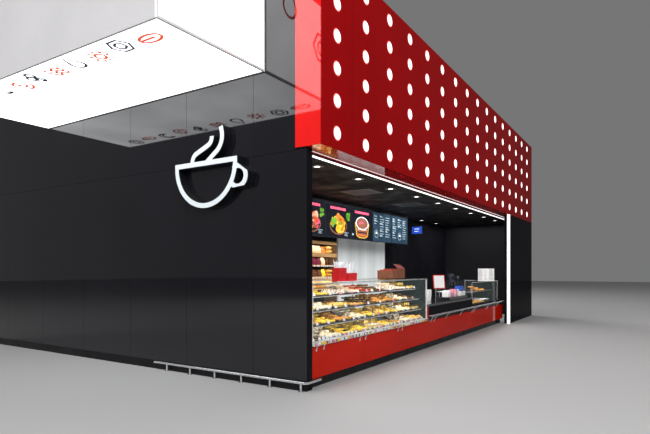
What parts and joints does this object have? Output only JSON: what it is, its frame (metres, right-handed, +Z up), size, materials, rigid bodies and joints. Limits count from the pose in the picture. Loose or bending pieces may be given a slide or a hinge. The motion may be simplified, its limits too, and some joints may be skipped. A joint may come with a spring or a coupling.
{
  "type": "corner cafe and bakery unit of a supermarket",
  "caption": "Corner food unit with a black glass front, lit canopy and cup sign, and a long open counter side with a glazed pastry case under a red fascia of round lights.",
  "frame": {"origin": "centre of the corner post at floor level, where the front wall meets the counter side", "axes": "+Z up; +Y along the counter side, away from the front wall; +X out of the counter side; the front wall runs to -X and faces -Y"},
  "size_m": [8.013, 13.28, 5.08],
  "materials": {
    "black_glass": "back-painted black glass, mirror gloss",
    "wall_core": "painted partition board",
    "black_paint": "satin black paint",
    "party_wall": "plain grey boarding",
    "ceiling_tile": "matt dark grey ceiling tile",
    "lamp_white": "lit opal diffuser",
    "red_glass": "back-painted red glass, mirror gloss",
    "pale_metal": "pale powder-coated metal",
    "clear_glass": "clear flat glass",
    "worktop": "polished black worktop",
    "steel": "brushed stainless tube",
    "screen_black": "black screen housing",
    "pale_panel": "pale grey sheet",
    "wood_dark": "dark stained wood",
    "wood_light": "light oiled wood",
    "diffuser": "lit white stretch panel"
  },
  "bodies": {
    "root": {"corner_post": "black_glass", "front_wall": "wall_core", "front_glass": "black_glass", "front_plinth": "black_paint", "left_wall": "party_wall", "far_wall": "party_wall", "far_return": "black_paint", "back_wall": "black_paint", "roof_deck": "party_wall", "kiosk_ceiling": "ceiling_tile", "downlights": "lamp_white", "ceiling_panel_lights": "lamp_white", "fascia_face": "red_glass", "fascia_lights": "lamp_white", "fascia_casing": "red_glass", "side_wall": "black_glass", "corner_light_strip": "lamp_white", "ceiling_light_strip": "lamp_white", "counter_plinth": "black_paint", "counter_carcass": "black_paint", "counter_red_panels": "red_glass", "case_deck": "pale_metal", "case_posts": "pale_metal", "case_rails": "pale_metal", "case_glass": "clear_glass", "case_shelves": "pale_metal", "service_band": "black_glass", "service_worktop": "worktop", "small_case_base": "black_paint", "small_case_frame": "pale_metal", "small_case_glass": "clear_glass", "small_case_shelf": "pale_metal", "tray_rail": "steel", "rail_brackets": "steel", "bumper_rail": "steel", "menu_screens": "screen_black", "menu_hangers": "black_paint", "order_monitor": "screen_black", "pale_wall_panel": "pale_panel", "bread_rack_sides": "wood_dark", "bread_rack_shelves": "wood_light", "canopy_diffusers": "diffuser", "canopy_cover": "pale_panel", "cup_sign_body": "black_paint", "cup_sign_face": "lamp_white"}
  },
  "joints": []
}
